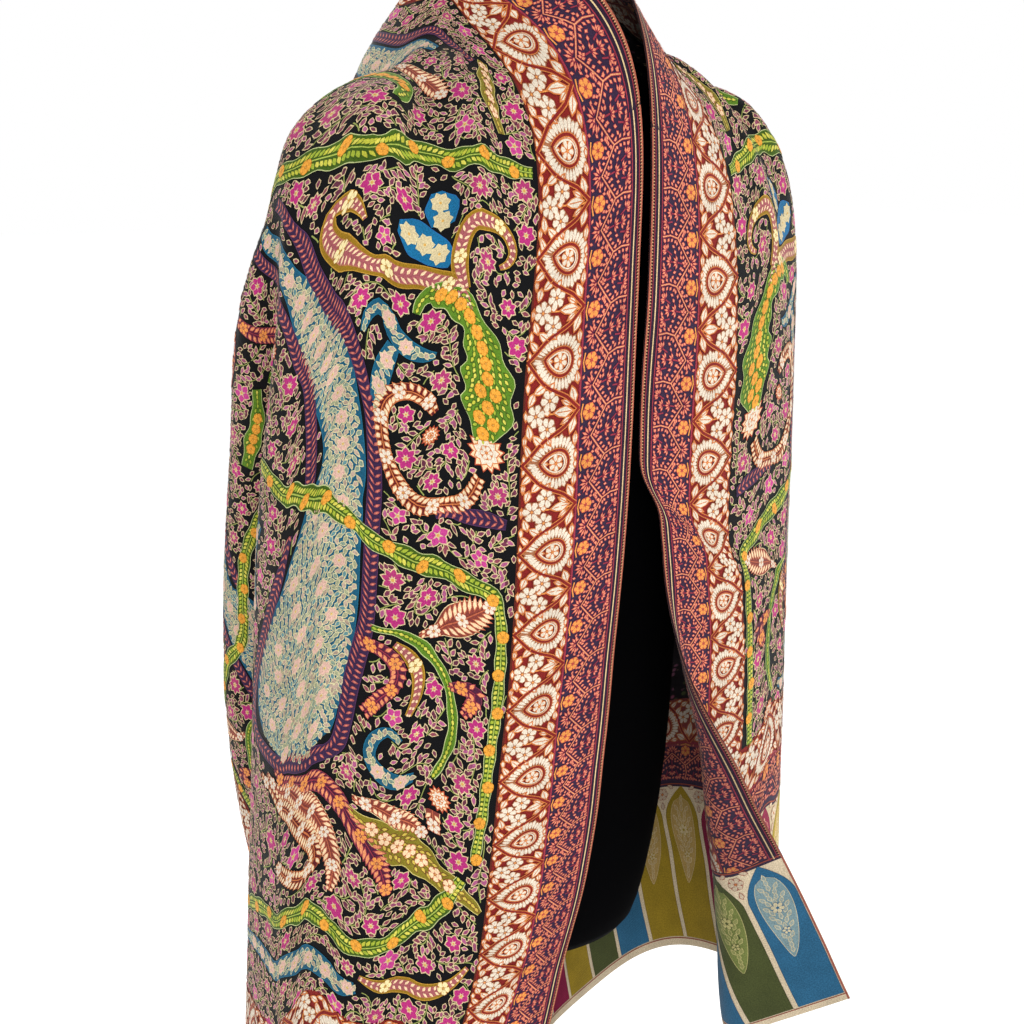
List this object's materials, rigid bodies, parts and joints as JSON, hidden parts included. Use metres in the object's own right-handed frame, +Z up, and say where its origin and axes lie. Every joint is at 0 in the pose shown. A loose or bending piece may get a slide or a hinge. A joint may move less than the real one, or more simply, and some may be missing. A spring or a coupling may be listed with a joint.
{
  "type": "pashmina shawl on a dress form",
  "caption": "Woven pashmina stole with patterned borders and panelled ends, draped round the shoulders of a limbless dress form on a pole stand with a round base.",
  "frame": {"origin": "centre of the underside of the stand's round base", "axes": "+Z up along the pole and the form's middle, the form faces -Y, and its own right shoulder is on the -X side"},
  "size_m": [0.4455, 0.479, 1.575],
  "materials": {
    "field": "twill-woven fine wool, black ground covered with multicoloured paisley, leaf and flower ornament, soft low sheen",
    "border": "twill-woven fine wool, red rosette border and maroon lattice border inside a dark edge strip",
    "end_band": "twill-woven fine wool, red and maroon band across the short end",
    "gates": "twill-woven fine wool, row of arched panels in olive, crimson, blue and green with cream dividers",
    "jersey": "matt black stretch jersey",
    "black_metal": "satin black powder coat"
  },
  "bodies": {
    "root": {"neck_border_right": "border", "neck_border_nape": "border", "neck_border_left": "border", "field_right_front": "field", "field_right_side": "field", "field_shoulders": "field", "field_back": "field", "field_left_front": "field", "field_left_side": "field", "hem_border_right": "border", "hem_border_back": "border", "hem_border_left": "border", "end_band_right_front": "end_band", "end_band_right_side": "end_band", "end_band_left_front": "end_band", "end_band_left_side": "end_band", "gates_right_front": "gates", "gates_right_side": "gates", "gates_left_front": "gates", "gates_left_side": "gates", "form_torso": "jersey", "neck_cap": "jersey", "stand_collar": "black_metal", "stand_pole": "black_metal", "stand_base": "black_metal"}
  },
  "joints": []
}
